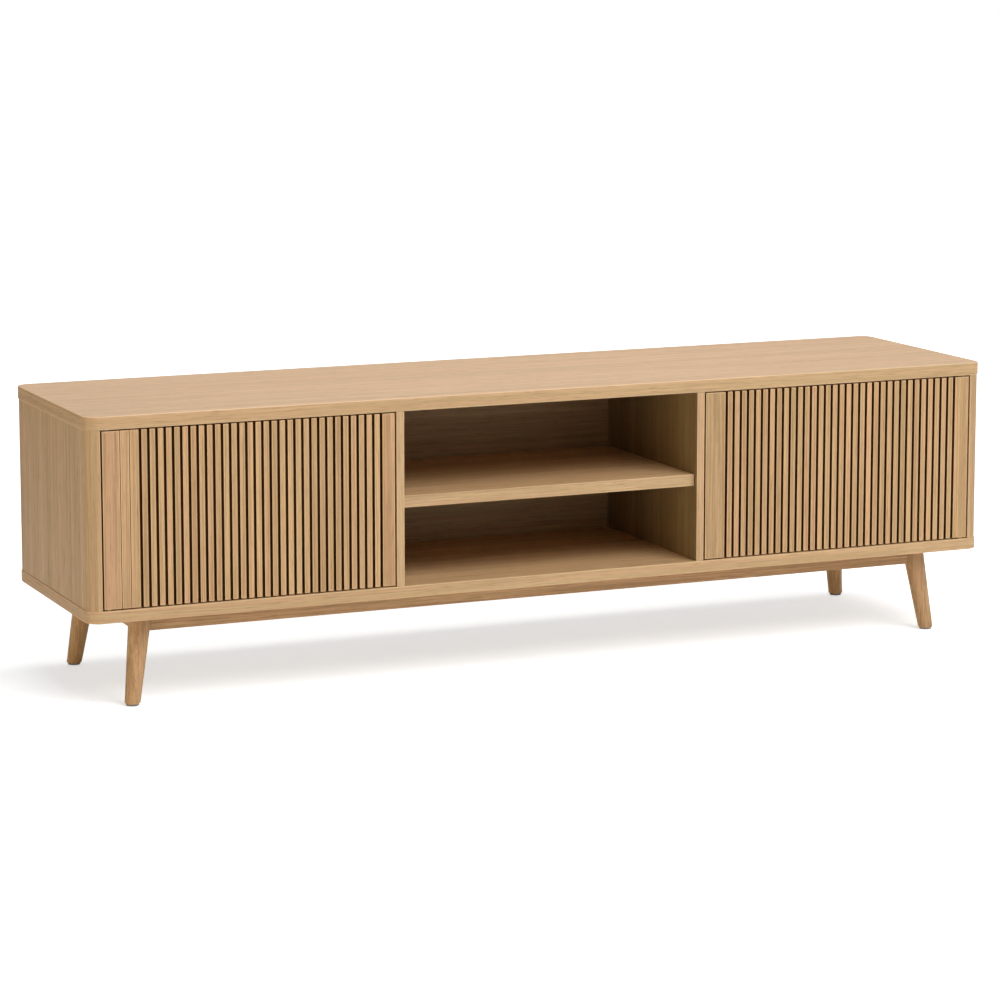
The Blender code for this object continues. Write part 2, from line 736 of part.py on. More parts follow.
def leg_span(name, side, end, low_z, high_z, low_radius, high_radius, sides):
    """A leaning cone along a leg's own centre line between two heights; returns mesh and centre."""
    top, foot = leg_points(side, end)
    full = LEG_TOP_Z - GLIDE_THICKNESS

    def plan(z):
        return foot + (top - foot) * ((z - GLIDE_THICKNESS) / full)

    low = plan(low_z)
    high = plan(high_z)
    mesh = cone_mesh(name, low_radius, high_radius, high_z - low_z, sides, tuple(high - low))
    middle = (low + high) / 2
    return mesh, (middle.x, middle.y, (low_z + high_z) / 2)


def leg(side, end, group, cutters):
    """A round tapered leg that leans outwards, with its studded top plate and floor glide."""
    name = f"{end}_{side}"
    foot_z = GLIDE_THICKNESS + TOUCH_GAP
    mesh, centre = leg_span(
        name + "_leg", side, end, foot_z, LEG_TOP_Z, LEG_FOOT_RADIUS, LEG_TOP_RADIUS, FULL_SIDES
    )
    body = place(name + "_leg", mesh, OAK_LEG, centre, group)
    round_edges(body, LEG_EDGE_ROUNDING)

    top, foot = leg_points(side, end)
    plate_low = LEG_TOP_Z + TOUCH_GAP
    plate_z = plate_low + LEG_PLATE_THICKNESS / 2
    stud_low = LEG_TOP_Z - LEG_STUD_LENGTH
    wide = LEG_STUD_RADIUS + TOUCH_GAP
    stud, stud_centre = leg_span(
        "stud", side, end, stud_low, plate_z, LEG_STUD_RADIUS, LEG_STUD_RADIUS, STUD_SIDES
    )
    mesh = cone_mesh(name, LEG_PLATE_RADIUS, LEG_PLATE_RADIUS, LEG_PLATE_THICKNESS, PLATE_SIDES)
    plate_centre = Vector((*top, plate_z))
    parts = [(mesh, (0, 0, 0)), (stud, Vector(stud_centre) - plate_centre)]
    joined(name + "_leg_stud_plate", parts, STEEL, plate_centre, group)
    bore_low = stud_low - TOUCH_GAP
    mesh, centre = leg_span("bore", side, end, bore_low, plate_z, wide, wide, STUD_SIDES)
    bore = cutter(place(name + "_stud_bore", mesh, None, centre, cutters))
    cut(body, bore)

    mesh = cone_mesh(name, GLIDE_RADIUS, GLIDE_RADIUS, GLIDE_THICKNESS, PLATE_SIDES)
    place(name + "_foot_glide", mesh, GREY_PLASTIC, (*foot, GLIDE_THICKNESS / 2), group)

    mesh, centre = leg_span(
        "seat",
        side,
        end,
        GLIDE_THICKNESS,
        UNDERSIDE_HEIGHT + SEAT_REACH,
        LEG_FOOT_RADIUS + SEAT_PLAY,
        LEG_TOP_RADIUS + SEAT_PLAY,
        FULL_SIDES,
    )
    return cutter(place(name + "_rail_seat_cutter", mesh, None, centre, cutters))


def leg_rails(seats, group):
    """Four rails under the bottom panel, their ends hollowed to sit against the round legs."""
    low_z = UNDERSIDE_HEIGHT - RAIL_HEIGHT
    high_z = UNDERSIDE_HEIGHT - TOUCH_GAP
    middle = (high_z - GLIDE_THICKNESS) / (LEG_TOP_Z - GLIDE_THICKNESS)
    line_x = LEG_FOOT_X + (LEG_TOP_X - LEG_FOOT_X) * middle
    line_y = LEG_FOOT_Y + (LEG_TOP_Y - LEG_FOOT_Y) * middle
    half = RAIL_THICKNESS / 2
    for end, sign in ENDS.items():
        rail = box(
            end + "_rail",
            (-line_x, sign * line_y - half, low_z),
            (line_x, sign * line_y + half, high_z),
            OAK_LEG,
            group,
        )
        for side in SIDES:
            cut(rail, seats[end, side])
    for side, sign in SIDES.items():
        rail = box(
            side + "_rail",
            (sign * line_x - half, -line_y + half + TOUCH_GAP, low_z),
            (sign * line_x + half, line_y - half - TOUCH_GAP, high_z),
            OAK_LEG,
            group,
        )
        for end in ENDS:
            cut(rail, seats[end, side])


def build():
    clear_scene()
    group = make_collection("media_cabinet")
    cutters = make_collection("cutters")
    case = {
        "top": case_panel("top_panel", TOP_UNDERSIDE_Z, TOP_THICKNESS, OAK_TOP, group),
        "bottom": case_panel("bottom_panel", UNDERSIDE_HEIGHT, BOTTOM_THICKNESS, OAK_CASE, group),
    }
    side_panels = {side: side_panel(side, group) for side in SIDES}
    dividers = {side: divider(side, group) for side in SIDES}
    grooves = back_groove_cutters(cutters)
    for groove in grooves.values():
        cut(case["top"], groove)
        cut(case["bottom"], groove)
    for side in SIDES:
        cut(side_panels[side], grooves[side])
        cut(dividers[side], grooves[side])
        cut(dividers[side], grooves["centre"])
    for bay in bays():
        back_panel(bay, group, cutters)
    for side in SIDES:
        cable_grommet(side, group)
    centre_shelf(group)
    shelf_pins(dividers, group, cutters)
    for side in SIDES:
        door(side, case, group, cutters)
    seats = {(end, side): leg(side, end, group, cutters) for end in ENDS for side in SIDES}
    leg_rails(seats, group)


build()
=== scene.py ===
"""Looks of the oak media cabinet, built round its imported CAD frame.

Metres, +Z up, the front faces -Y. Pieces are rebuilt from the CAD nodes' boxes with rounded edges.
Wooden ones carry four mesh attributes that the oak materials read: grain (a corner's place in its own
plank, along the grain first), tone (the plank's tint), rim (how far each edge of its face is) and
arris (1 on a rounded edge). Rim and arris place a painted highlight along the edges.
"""

import json
import math

import bmesh
import bpy
import numpy as np
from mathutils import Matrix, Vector

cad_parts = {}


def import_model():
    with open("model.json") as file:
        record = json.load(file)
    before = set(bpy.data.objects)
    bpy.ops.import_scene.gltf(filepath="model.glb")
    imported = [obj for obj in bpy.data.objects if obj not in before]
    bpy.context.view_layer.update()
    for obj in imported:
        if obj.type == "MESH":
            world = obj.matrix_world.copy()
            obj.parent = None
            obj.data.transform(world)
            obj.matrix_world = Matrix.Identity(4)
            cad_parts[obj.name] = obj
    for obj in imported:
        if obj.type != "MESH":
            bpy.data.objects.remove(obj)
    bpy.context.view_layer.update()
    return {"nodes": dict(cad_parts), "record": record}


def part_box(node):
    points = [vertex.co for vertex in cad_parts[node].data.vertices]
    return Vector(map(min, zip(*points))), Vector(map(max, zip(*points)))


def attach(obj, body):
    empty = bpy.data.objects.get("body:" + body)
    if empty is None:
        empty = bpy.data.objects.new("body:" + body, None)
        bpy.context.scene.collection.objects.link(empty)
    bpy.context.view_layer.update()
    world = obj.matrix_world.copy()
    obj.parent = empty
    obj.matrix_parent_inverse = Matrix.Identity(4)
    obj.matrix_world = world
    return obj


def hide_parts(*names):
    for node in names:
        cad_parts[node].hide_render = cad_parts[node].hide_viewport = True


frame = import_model()

SIDES = ("left", "right")
ENDS = ("front", "rear")
LEVELS = ("upper", "lower")
BAYS = ("left", "centre", "right")
AXES = {"X": (0, 1, 2), "Y": (1, 0, 2), "Z": (2, 0, 1)}

# Edges and smoothness
PANEL_ROUNDING = 0.0015
BOARD_ROUNDING = 0.0004
SLAT_ROUNDING = 0.0004
SHEET_ROUNDING = 0.0002
METAL_ROUNDING = 0.0003
PLASTIC_ROUNDING = 0.0006
RIM_WIDTH = 0.0022
CORNER_RADIUS = 0.025
CORNER_STEPS = 14
ROUNDING_STEPS = 3
SHARP_ABOVE = 40
ROUND_SIDES = 64
LET_IN_GAP = 0.0003
PLATE_CORNER_RADIUS = 0.002
NORMAL_WEIGHT = 90

# Sizes of a unit normal's parts, by which faces are told apart
FLAT = 0.985
LYING = 0.7
LEANING = 0.17
# Faces turned this far sideways get the painted gap shade
GAP_SHADE_ABOVE = 0.5

# Tones of the planks that aren't drawn at random: 0 rosy to 1 straw, and TONE_SHUFFLE times a tone
# has a fraction that says how light the plank is
TONE_SHUFFLE = 7.31
PANEL_TONE = 0.45
SIDE_TONE = 0.42
DIVIDER_TONE = 0.42
SHELF_TONE = 0.55
BACK_TONE = 0.40
RAIL_TONE = 0.40
STILE_TONES = {"left": 0.0, "right": 0.68}
# The legs' tones are chosen as painted light and shade: the rear legs lightest and the front right leg
# darkest, as light falls under the case
LEG_TONES_AND_PAINTED_LIGHT = {"front_left": 0.21, "front_right": 0.14, "rear_left": 0.27, "rear_right": 0.27}

SEED = 7
OFFSET_REACH = 3.0
RANDOM = np.random.default_rng(SEED)


# ---------------------------------------------------------------- meshes


def new_object(name, mesh):
    item = bpy.data.objects.new(name, mesh)
    bpy.context.scene.collection.objects.link(item)
    return item


def from_bmesh(name, shape):
    bmesh.ops.recalc_face_normals(shape, faces=shape.faces)
    mesh = bpy.data.meshes.new(name)
    shape.to_mesh(mesh)
    shape.free()
    return new_object(name, mesh)


def arc(centre, radius, start, stop, steps=CORNER_STEPS):
    """Points of an arc in degrees, its ends included."""
    angles = [math.radians(start + (stop - start) * step / steps) for step in range(steps + 1)]
    return [(centre[0] + radius * math.cos(a), centre[1] + radius * math.sin(a)) for a in angles]


def rounded_outline(low, high, radii):
    """Plan outline of a box whose corners (+x+y, -x+y, -x-y, +x-y) are rounded by their radii."""
    corners = [(high.x, high.y), (low.x, high.y), (low.x, low.y), (high.x, low.y)]
    inward = [(-1, -1), (1, -1), (1, 1), (-1, 1)]
    points = []
    for quarter, ((x, y), (dx, dy), radius) in enumerate(zip(corners, inward, radii)):
        if radius:
            points += arc((x + dx * radius, y + dy * radius), radius, 90 * quarter, 90 * quarter + 90)
        else:
            points.append((x, y))
    return points


def add_slab(shape, outline, low_z, high_z, rounding):
    """Adds an upright prism to a bmesh and rounds every edge that is sharp."""
    ring = [shape.verts.new((x, y, low_z)) for x, y in outline]
    floor = shape.faces.new(ring)
    risen = bmesh.ops.extrude_face_region(shape, geom=[floor])
    top = [item for item in risen["geom"] if isinstance(item, bmesh.types.BMVert)]
    bmesh.ops.translate(shape, verts=top, vec=(0.0, 0.0, high_z - low_z))
    faces = {face for vert in ring + top for face in vert.link_faces}
    bmesh.ops.recalc_face_normals(shape, faces=list(faces))
    edges = {edge for face in faces for edge in face.edges}
    sharp = [edge for edge in edges if edge.calc_face_angle(0.0) > math.radians(SHARP_ABOVE)]
    bmesh.ops.bevel(
        shape, geom=sharp, offset=rounding, segments=ROUNDING_STEPS, profile=0.5, affect="EDGES"
    )


def slab(name, low, high, rounding, radii=(0, 0, 0, 0)):
    shape = bmesh.new()
    add_slab(shape, rounded_outline(low, high, radii), low.z, high.z, rounding)
    return from_bmesh(name, shape)


def turned(name, rings, across, up, sides=ROUND_SIDES, closed=False):
    """Rings (centre, radius) joined into a round solid, or into a ring-shaped one when closed."""
    across = Vector(across)
    up = Vector(up)
    shape = bmesh.new()
    loops = []
    for centre, radius in rings:
        loop = []
        for step in range(sides):
            angle = 2 * math.pi * step / sides
            spoke = across * math.cos(angle) + up * math.sin(angle)
            loop.append(shape.verts.new(Vector(centre) + spoke * radius))
        loops.append(loop)
    pairs = list(zip(loops, loops[1:]))
    if closed:
        pairs.append((loops[-1], loops[0]))
    else:
        shape.faces.new(loops[0])
        shape.faces.new(loops[-1])
    for lower, upper in pairs:
        for step in range(sides):
            other = (step + 1) % sides
            shape.faces.new((lower[step], lower[other], upper[other], upper[step]))
    return from_bmesh(name, shape)


def lathe(name, base, axis, profile, sides=ROUND_SIDES, closed=False):
    """A (radius, distance along the axis) profile turned about the axis."""
    base = Vector(base)
    axis = Vector(axis)
    across = axis.orthogonal().normalized()
    rings = [(base + axis * distance, radius) for radius, distance in profile]
    return turned(name, rings, across, axis.cross(across), sides, closed)


def rounded_corner(radius, distance, inset, turn):
    """Points of a profile's rounded corner; turn gives the signs of its inward side."""
    points = arc((0.0, 0.0), inset, 0, 90, ROUNDING_STEPS)
    inward, back = turn
    return [(radius + inward * (inset - x), distance + back * (inset - y)) for x, y in points]


def carve(item, others, operation="DIFFERENCE"):
    """Cuts each other piece out of this one, or joins it on, and throws the other pieces away."""
    for other in others:
        change = item.modifiers.new("change", "BOOLEAN")
        change.operation = operation
        change.solver = "EXACT"
        change.object = other
    bpy.context.view_layer.update()
    depsgraph = bpy.context.evaluated_depsgraph_get()
    mesh = bpy.data.meshes.new_from_object(item.evaluated_get(depsgraph))
    item.modifiers.clear()
    item.data = mesh
    for other in others:
        bpy.data.objects.remove(other, do_unlink=True)


def smooth(item):
    """Smooth shading that breaks at sharp edges."""
    item.data.shade_smooth()
    item.data.set_sharp_from_angle(angle=math.radians(SHARP_ABOVE))


def shade(item):
    """Smooth over roundings, flat on flats."""
    smooth(item)
    weighted = item.modifiers.new("weighted", "WEIGHTED_NORMAL")
    weighted.keep_sharp = True
    weighted.weight = NORMAL_WEIGHT


def box_cutter(low, high, gap=LET_IN_GAP):
    grow = Vector((gap, gap, gap))
    low = low - grow
    high = high + grow
    shape = bmesh.new()
    bmesh.ops.create_cube(shape, size=1.0)
    for vert in shape.verts:
        for axis in range(3):
            vert.co[axis] = low[axis] if vert.co[axis] < 0 else high[axis]
    return from_bmesh("cutter", shape)


# ---------------------------------------------------------------- wood attributes


def read(rows, name, width=1, kind=np.float32):
    values = np.zeros(len(rows) * width, kind)
    rows.foreach_get(name, values)
    return values.reshape(-1, width) if width > 1 else values


def edge_band(places, low, high):
    """Grain places of a band glued round a panel: its length runs round the rounded corners."""
    reach_x = high.x - CORNER_RADIUS
    reach_y = high.y - CORNER_RADIUS
    core_x = np.clip(places[:, 0], -reach_x, reach_x)
    core_y = np.clip(places[:, 1], -reach_y, reach_y)
    turn = np.arctan2(np.abs(places[:, 0] - core_x), core_y - places[:, 1])
    length = core_x + np.sign(core_x) * (CORNER_RADIUS * turn + core_y + reach_y)
    return np.column_stack((length, places[:, 2], np.zeros(len(places))))


def rims(places, normals, lows, highs):
    """Distance to the four edges of the face that each corner is on, in rim widths."""
    axes = np.array([(1, 2), (0, 2), (0, 1)])[np.abs(normals).argmax(axis=1)]
    to_low = np.take_along_axis(places - lows, axes, axis=1) / RIM_WIDTH
    to_high = np.take_along_axis(highs - places, axes, axis=1) / RIM_WIDTH
    return np.column_stack((to_low, to_high))


def stamp(item, along, tone=None, spans=None, banded=False, round_corners=False):
    """Writes the wood attributes. Slats pass their x spans, so that each is a plank of its own."""
    mesh = item.data
    places = read(mesh.vertices, "co", 3)[read(mesh.loops, "vertex_index", kind=np.int32)]
    face_normals = read(mesh.polygons, "normal", 3)
    normals = np.repeat(face_normals, read(mesh.polygons, "loop_total", kind=np.int32), axis=0)
    lows = np.tile(places.min(axis=0), (len(places), 1))
    highs = np.tile(places.max(axis=0), (len(places), 1))
    plank = np.zeros(len(places), int)
    planks = 1
    if spans:
        edges = np.array(spans)
        plank = np.abs(places[:, :1] - edges.mean(axis=1)[None, :]).argmin(axis=1)
        planks = len(spans)
        lows[:, 0] = edges[plank, 0]
        highs[:, 0] = edges[plank, 1]
    grain = places[:, AXES[along]]
    if banded:
        edge = np.abs(normals[:, 2]) < LYING
        grain[edge] = edge_band(places[edge], Vector(lows[0]), Vector(highs[0]))
    grain = grain + RANDOM.uniform(-OFFSET_REACH, OFFSET_REACH, (planks, 3))[plank]
    tints = RANDOM.uniform(0.0, 1.0, planks) if tone is None else np.full(planks, tone)
    tilted = np.abs(face_normals).max(axis=1) < FLAT
    if round_corners:
        tilted &= np.abs(face_normals[:, 2]) > LEANING
    write(mesh, "grain", "FLOAT_VECTOR", "CORNER", "vector", grain)
    write(mesh, "rim", "FLOAT_COLOR", "CORNER", "color", rims(places, normals, lows, highs))
    write(mesh, "tone", "FLOAT", "CORNER", "value", tints[plank])
    write(mesh, "arris", "FLOAT", "FACE", "value", tilted)


def write(mesh, name, kind, domain, field, values):
    made = mesh.attributes.new(name, kind, domain)
    made.data.foreach_set(field, np.asarray(values, np.float32).ravel())


# ---------------------------------------------------------------- materials

# A Mix node's sockets for two colours and their mixture
MIX_FIRST = 6
MIX_SECOND = 7
MIX_OUT = 2


class Shader:
    """A material's node tree, with short ways to add nodes and join them."""

    def __init__(self, name):
        self.material = bpy.data.materials.new(name)
        self.material.use_nodes = True
        self.tree = self.material.node_tree
        self.surface = self.tree.nodes["Principled BSDF"]

    def set(self, socket, value):
        if isinstance(value, bpy.types.NodeSocket):
            self.tree.links.new(value, socket)
        else:
            socket.default_value = value

    def principled(self, **values):
        for name, value in values.items():
            self.set(self.surface.inputs[name.replace("_", " ")], value)

    def attribute(self, name, output):
        node = self.tree.nodes.new("ShaderNodeAttribute")
        node.attribute_name = name
        return node.outputs[output]

    def math(self, operation, *values, clamp=False):
        node = self.tree.nodes.new("ShaderNodeMath")
        node.operation = operation
        node.use_clamp = clamp
        for socket, value in zip(node.inputs, values):
            self.set(socket, value)
        return node.outputs[0]

    def stretch(self, vector, scale):
        node = self.tree.nodes.new("ShaderNodeVectorMath")
        node.operation = "MULTIPLY"
        self.set(node.inputs[0], vector)
        node.inputs[1].default_value = scale
        return node.outputs[0]

    def add(self, first, second):
        node = self.tree.nodes.new("ShaderNodeVectorMath")
        node.operation = "ADD"
        self.set(node.inputs[0], first)
        self.set(node.inputs[1], second)
        return node.outputs[0]

    def noise(self, vector, detail=2.0, roughness=0.5, output="Fac"):
        node = self.tree.nodes.new("ShaderNodeTexNoise")
        self.set(node.inputs["Vector"], vector)
        node.inputs["Scale"].default_value = 1.0
        node.inputs["Detail"].default_value = detail
        node.inputs["Roughness"].default_value = roughness
        return node.outputs[output]

    def ramp(self, value, low, high, start=0.0, stop=1.0):
        node = self.tree.nodes.new("ShaderNodeMapRange")
        self.set(node.inputs["Value"], value)
        node.inputs["From Min"].default_value = low
        node.inputs["From Max"].default_value = high
        node.inputs["To Min"].default_value = start
        node.inputs["To Max"].default_value = stop
        return node.outputs["Result"]

    def mix(self, share, first, second, blend="MIX"):
        node = self.tree.nodes.new("ShaderNodeMix")
        node.data_type = "RGBA"
        node.blend_type = blend
        self.set(node.inputs["Factor"], share)
        self.set(node.inputs[MIX_FIRST], first)
        self.set(node.inputs[MIX_SECOND], second)
        return node.outputs[MIX_OUT]

    def times(self, body, factor):
        """A colour multiplied by another colour."""
        return self.mix(1.0, body, factor, "MULTIPLY")

    def grey(self, value):
        node = self.tree.nodes.new("ShaderNodeCombineColor")
        for socket in node.inputs[:3]:
            self.set(socket, value)
        return node.outputs[0]

    def bump(self, height, strength, distance):
        node = self.tree.nodes.new("ShaderNodeBump")
        node.inputs["Strength"].default_value = strength
        node.inputs["Distance"].default_value = distance
        self.set(node.inputs["Height"], height)
        self.set(self.surface.inputs["Normal"], node.outputs["Normal"])


def colour(red, green, blue):
    return (red, green, blue, 1.0)


ROSY = colour(1.03, 0.985, 0.99)
STRAW = colour(0.98, 1.005, 0.965)

# Oak's noises: cells a metre along the grain, then in the two directions across it
DRIFT_SCALE = (1.1, 6.0, 6.0)
BAND_SCALE = (0.6, 20.0, 20.0)
STREAK_SCALE = (1.3, 95.0, 95.0)
LINE_SCALE = (2.6, 330.0, 330.0)
FIBRE_SCALE = (12.0, 1500.0, 1500.0)
PORE_SCALE = (26.0, 1000.0, 1000.0)
HUE_SCALE = (0.9, 120.0, 70.0)
DRIFT_REACH = (0.0, 0.022, 0.022)
BAND_SHARE = 0.22
STREAK_SHARE = 0.38
LINE_SHARE = 0.40
ROUGH = 0.6

# Spans of values that the ramps start from
NOISE_SPAN = (0.3, 0.7)
FIGURE_SPAN = (0.40, 0.60)
HUE_SPAN = (0.35, 0.65)
PORE_SPAN = (0.62, 0.70)

# Red, green and blue of oak's colours as shares of its tint, and its shades from dark to light
LIGHT_WOOD = (1.12, 1.13, 1.14)
DARK_WOOD = (0.85, 0.82, 0.77)
PORE_WOOD = (0.42, 0.38, 0.34)
# The next shares are a painted highlight: the paler colour laid on rounded edges and near face rims
EDGE_HIGHLIGHT_WOOD = (1.42, 1.48, 1.42)
PLANK_SHADES = (0.88, 1.08)
FIBRE_SHADES = (0.84, 1.16)
PORE_DEPTH = 0.5
OAK_ROUGHNESS = (0.40, 0.54)
OAK_BUMP = 0.25
OAK_RELIEF = 0.0002


def scaled(tint, shares):
    return colour(*(part * share for part, share in zip(tint, shares)))


def near_rim(wood):
    """1 at an edge of the face, falling to 0 a rim width away."""
    node = wood.attribute("rim", "Color").node
    split = wood.tree.nodes.new("ShaderNodeSeparateColor")
    wood.set(split.inputs[0], node.outputs["Color"])
    first = wood.math("MINIMUM", split.outputs[0], split.outputs[1])
    second = wood.math("MINIMUM", split.outputs[2], node.outputs["Alpha"])
    return wood.math("SUBTRACT", 1.0, wood.math("MINIMUM", first, second), clamp=True)


def growth_figure(wood, grain, streaks, tint, contrast):
    """The tint, lighter and darker in broad bands, streaks and growth lines."""
    bands = wood.noise(wood.stretch(grain, BAND_SCALE), detail=2.0)
    lines = wood.noise(wood.stretch(grain, LINE_SCALE), detail=2.0, roughness=ROUGH)
    figure = wood.math("MULTIPLY", bands, BAND_SHARE)
    figure = wood.math("MULTIPLY_ADD", streaks, STREAK_SHARE, figure)
    figure = wood.math("MULTIPLY_ADD", lines, LINE_SHARE, figure)
    depth = wood.ramp(figure, *FIGURE_SPAN, 0.5 - 0.5 * contrast, 0.5 + 0.5 * contrast)
    return wood.mix(depth, scaled(tint, LIGHT_WOOD), scaled(tint, DARK_WOOD))


def plank_colour(wood, grain, body):
    """Hue that drifts within a plank, and hue and shade that differ from plank to plank."""
    hues = wood.noise(wood.stretch(grain, HUE_SCALE), detail=1.0)
    hue = wood.ramp(hues, *HUE_SPAN)
    body = wood.times(body, wood.mix(hue, ROSY, STRAW))
    tone = wood.attribute("tone", "Fac")
    body = wood.times(body, wood.mix(tone, ROSY, STRAW))
    lightness = wood.math("FRACT", wood.math("MULTIPLY", tone, TONE_SHUFFLE))
    return wood.times(body, wood.grey(wood.ramp(lightness, 0.0, 1.0, *PLANK_SHADES)))


def oak(name, tint, contrast=1.0, highlight_share=0.35, shine=0.45):
    """Lacquered oak: its figure and hues, fibres and pores, with a painted highlight along its edges.
    """
    wood = Shader(name)
    grain = wood.attribute("grain", "Vector")
    drift = wood.noise(wood.stretch(grain, DRIFT_SCALE), detail=2.0, output="Color")
    grain = wood.add(grain, wood.stretch(drift, DRIFT_REACH))
    streaks = wood.noise(wood.stretch(grain, STREAK_SCALE), detail=3.0, roughness=ROUGH)
    fibres = wood.noise(wood.stretch(grain, FIBRE_SCALE), detail=3.0, roughness=ROUGH)
    pores = wood.noise(wood.stretch(grain, PORE_SCALE), detail=1.0)
    pore_share = wood.ramp(pores, *PORE_SPAN, 0.0, PORE_DEPTH)

    body = growth_figure(wood, grain, streaks, tint, contrast)
    body = plank_colour(wood, grain, body)
    body = wood.times(body, wood.grey(wood.ramp(fibres, *NOISE_SPAN, *FIBRE_SHADES)))
    body = wood.mix(pore_share, body, scaled(tint, PORE_WOOD))
    # Painted highlight: paler colour on rounded edges and near the rims of faces
    edge_highlight = wood.math("MAXIMUM", wood.attribute("arris", "Fac"), near_rim(wood))
    body = wood.mix(wood.math("MULTIPLY", edge_highlight, highlight_share), body, scaled(tint, EDGE_HIGHLIGHT_WOOD))

    gloss = wood.ramp(streaks, *NOISE_SPAN, *OAK_ROUGHNESS)
    gloss = wood.math("MULTIPLY_ADD", pore_share, 0.5, gloss)
    wood.principled(Base_Color=body, Roughness=gloss, Specular_IOR_Level=shine)
    relief = wood.math("SUBTRACT", wood.math("MULTIPLY", fibres, 0.5), pore_share)
    wood.bump(relief, OAK_BUMP, OAK_RELIEF)
    return wood.material


FINE_MOTTLE = 900.0
BROAD_MOTTLE = 60.0
MOTTLE_SHADES = (0.88, 1.12)
MOTTLE_GLOSS = 0.08
MOTTLE_BUMP = 0.3
MOTTLE_RELIEF = 0.00005


def plain(name, tint, roughness, metallic=0.0):
    """Metal or plastic: a fine mottled colour, roughness and bump, on object coordinates."""
    made = Shader(name)
    place = made.tree.nodes.new("ShaderNodeTexCoord").outputs["Object"]
    fine = made.noise(made.stretch(place, (FINE_MOTTLE,) * 3), detail=3.0)
    broad = made.noise(made.stretch(place, (BROAD_MOTTLE,) * 3), detail=3.0)
    shades = made.grey(made.ramp(broad, *NOISE_SPAN, *MOTTLE_SHADES))
    gloss = made.ramp(fine, *NOISE_SPAN, roughness - MOTTLE_GLOSS, roughness + MOTTLE_GLOSS)
    made.principled(
        Base_Color=made.times(colour(*tint), shades), Roughness=gloss, Metallic=metallic
    )
    made.bump(fine, MOTTLE_BUMP, MOTTLE_RELIEF)
    return made.material


MATERIALS = {
    # The top's tint is paler and less saturated than the case's: painted sheen and top light
    "top_oak": oak("top_oak", (0.675, 0.470, 0.305), 0.7),
    "case_oak": oak("case_oak", (0.64, 0.425, 0.23), 1.15),
    "edge_oak": oak("edge_oak", (0.64, 0.425, 0.23), 0.75),
    # The doors' edges take a strong painted highlight
    "door_oak": oak("door_oak", (0.572, 0.359, 0.187), 2.1, 0.95),
    "leg_oak": oak("leg_oak", (0.55, 0.345, 0.170), 2.2),
    # Lighter oak for the rear legs: painted light on legs that stand in the case's shade
    "painted_light_rear_leg_oak": oak("painted_light_rear_leg_oak", (0.63, 0.405, 0.208), 2.2),
    # The inside oak is set darker than the case's: painted shade for the insides of the bays
    "inside_oak": oak("inside_oak", (0.405, 0.281, 0.137)),
    # Darker oak for the walls of the open centre bay: painted shade
    "painted_shade_bay_oak": oak("painted_shade_bay_oak", (0.31, 0.215, 0.097)),
    "lining_oak": oak("lining_oak", (0.54, 0.365, 0.200)),
    # Dark brown for the slat grooves and door gaps: painted shade
    "painted_gap_shade": oak("painted_gap_shade", (0.13, 0.053, 0.008), 1.0, 0.0, shine=0.15),
    "plated_steel": plain("plated_steel", (0.62, 0.62, 0.60), 0.30, 1.0),
    "brass": plain("brass", (0.72, 0.53, 0.25), 0.32, 1.0),
    "grey_plastic": plain("grey_plastic", (0.30, 0.30, 0.29), 0.50),
    "black_plastic": plain("black_plastic", (0.04, 0.04, 0.04), 0.50),
}


# ---------------------------------------------------------------- handing pieces over


def body_of(node):
    bodies = frame["record"]["behaviour"]["bodies"]
    return next(body for body, members in bodies.items() if node in members)


def slot_of(node):
    return next(row["material_slot"] for row in frame["record"]["subparts"] if row["node"] == node)


def hand_over(item, node, material=None):
    """Gives a piece its node's finish and body, and hides the node."""
    name = material or slot_of(node)
    item.data.materials.clear()
    item.data.materials.append(MATERIALS[name])
    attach(item, body_of(node))
    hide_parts(node)
    return item


def wooden(item, node, along, tone=None, material=None, **options):
    stamp(item, along, tone, **options)
    shade(item)
    return hand_over(item, node, material)


def hard(item, node):
    """A metal or plastic piece."""
    shade(item)
    return hand_over(item, node)


# ---------------------------------------------------------------- case


def plate_box(side, end, part):
    """Box of a plate only: a case plate's own box holds its pin, so the door plate gives the plan."""
    plan_low, plan_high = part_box(f"{side}_{end}_door_pivot_plate")
    low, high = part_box(f"{side}_{end}_{part}_pivot_plate")
    thickness = plan_high.z - plan_low.z
    if part == "case" and end == "upper":
        low.z = high.z - thickness
    if part == "case" and end == "lower":
        high.z = low.z + thickness
    return Vector((plan_low.x, plan_low.y, low.z)), Vector((plan_high.x, plan_high.y, high.z))


def plate_cutter(side, end, part):
    """A recess with rounded corners, a little wider than the plate that lies in it."""
    low, high = plate_box(side, end, part)
    grow = Vector((LET_IN_GAP, LET_IN_GAP, LET_IN_GAP))
    radius = PLATE_CORNER_RADIUS + LET_IN_GAP
    return slab("cutter", low - grow, high + grow, 0.0, (radius,) * 4)


def plate_cutters(end, part):
    return [plate_cutter(side, end, part) for side in SIDES]


def groove_cutters():
    """The grooves that the three back panels stand in, as wide as the panels."""
    return [box_cutter(*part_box(bay + "_back_panel")) for bay in BAYS]


def pin_cutter(side, end):
    """The blind hole round a shelf pin."""
    low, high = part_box(f"{side}_{end}_shelf_pin")
    middle = (low + high) / 2
    radius = (high.z - low.z) / 2 + LET_IN_GAP
    reach = (high.x - low.x) / 2 + LET_IN_GAP
    return lathe("cutter", middle, (1, 0, 0), [(radius, -reach), (radius, reach)])


def case_panels():
    for name, end in (("top_panel", "upper"), ("bottom_panel", "lower")):
        low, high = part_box(name)
        panel = slab(name + "_oak", low, high, PANEL_ROUNDING, (CORNER_RADIUS,) * 4)
        carve(panel, plate_cutters(end, "case") + groove_cutters())
        wooden(panel, name, "X", PANEL_TONE, banded=True, round_corners=True)
        band_edges(panel)


